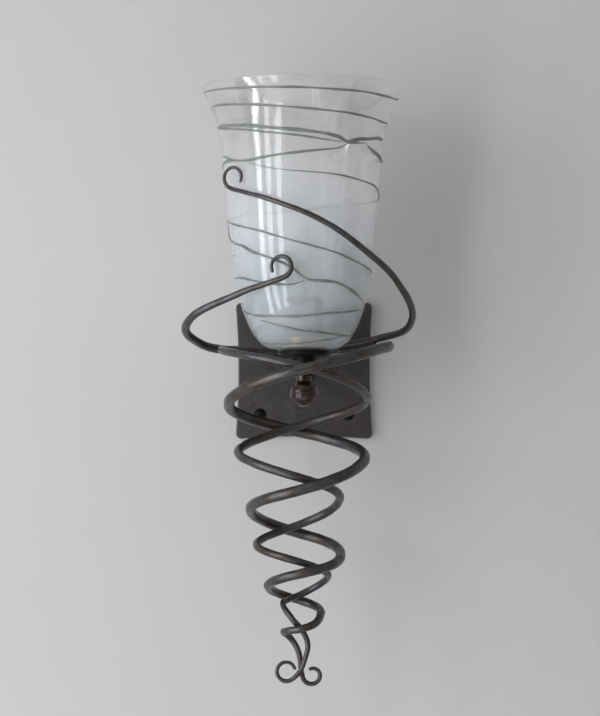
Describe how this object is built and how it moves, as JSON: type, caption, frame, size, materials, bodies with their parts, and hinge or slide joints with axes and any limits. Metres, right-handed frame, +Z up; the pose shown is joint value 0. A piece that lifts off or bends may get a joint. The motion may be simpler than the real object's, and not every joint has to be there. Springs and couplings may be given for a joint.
{
  "type": "wall sconce",
  "caption": "Torch wall light: flared blown glass shade in two counter-wound tapering forged scroll rods, on an arm from a square backplate, with ball finial and screw-in bulb.",
  "frame": {"origin": "centre of the backplate's rear face, in the plane of the wall", "axes": "+Z up, +Y into the wall, +X to the right as seen from the room; the light stands out towards -Y"},
  "size_m": [0.2126, 0.2331, 0.5396],
  "materials": {
    "forged_iron": "hand forged, scale brushed off, waxed",
    "blackened_steel": "blackened, satin",
    "plated_steel": "zinc plated",
    "aged_copper": "copper-plated, browned and polished",
    "lamp_brass": "bright stamped brass",
    "phenolic": "moulded phenolic",
    "bushing_nylon": "moulded nylon",
    "felt": "pressed felt",
    "opal_glass": "blown, clear at the rim and opal white below",
    "clear_glass": "clear",
    "bulb_base_metal": "rolled thread, satin",
    "black_insulator": "vitreous, gloss",
    "solder": "dull",
    "phosphor": "phosphor coat, unlit"
  },
  "bodies": {
    "frame": {"backplate": "forged_iron", "wire_bushing": "bushing_nylon", "support_arm": "forged_iron", "arm_weld": "forged_iron", "hub": "blackened_steel", "lamp_nipple": "plated_steel", "cup": "blackened_steel", "cup_washer": "plated_steel", "cup_nut": "plated_steel", "glass_gasket": "felt", "scroll_rod_long": "forged_iron", "scroll_rod_short": "forged_iron", "rod_welds": "forged_iron", "wall_screw_lower_left": "blackened_steel", "wall_screw_lower_right": "blackened_steel", "wall_screw_upper_left": "blackened_steel", "wall_screw_upper_right": "blackened_steel", "socket_cap": "lamp_brass", "socket_body": "phenolic", "socket_screw_shell": "lamp_brass", "socket_contact": "lamp_brass"},
    "shade": {"glass_shade": "opal_glass"},
    "bulb": {"bulb_tip_contact": "solder", "bulb_insulator": "black_insulator", "bulb_base_shell": "bulb_base_metal", "bulb_envelope": "clear_glass", "bulb_stem": "clear_glass", "bulb_filaments": "phosphor"},
    "finial": {"finial": "aged_copper"}
  },
  "joints": [
    {"name": "shade_lift", "type": "slide", "parent": "frame", "child": "shade", "axis": [0, 0, 1], "range_m": [0, 0.14]},
    {"name": "bulb_turn", "type": "hinge", "parent": "frame", "child": "bulb", "pos_m": [0, -0.115, 0], "axis": [0, 0, 1], "range_deg": [0, 1440]},
    {"name": "finial_turn", "type": "hinge", "parent": "frame", "child": "finial", "pos_m": [0, -0.115, 0], "axis": [0, 0, -1], "range_deg": [0, 2520]}
  ]
}
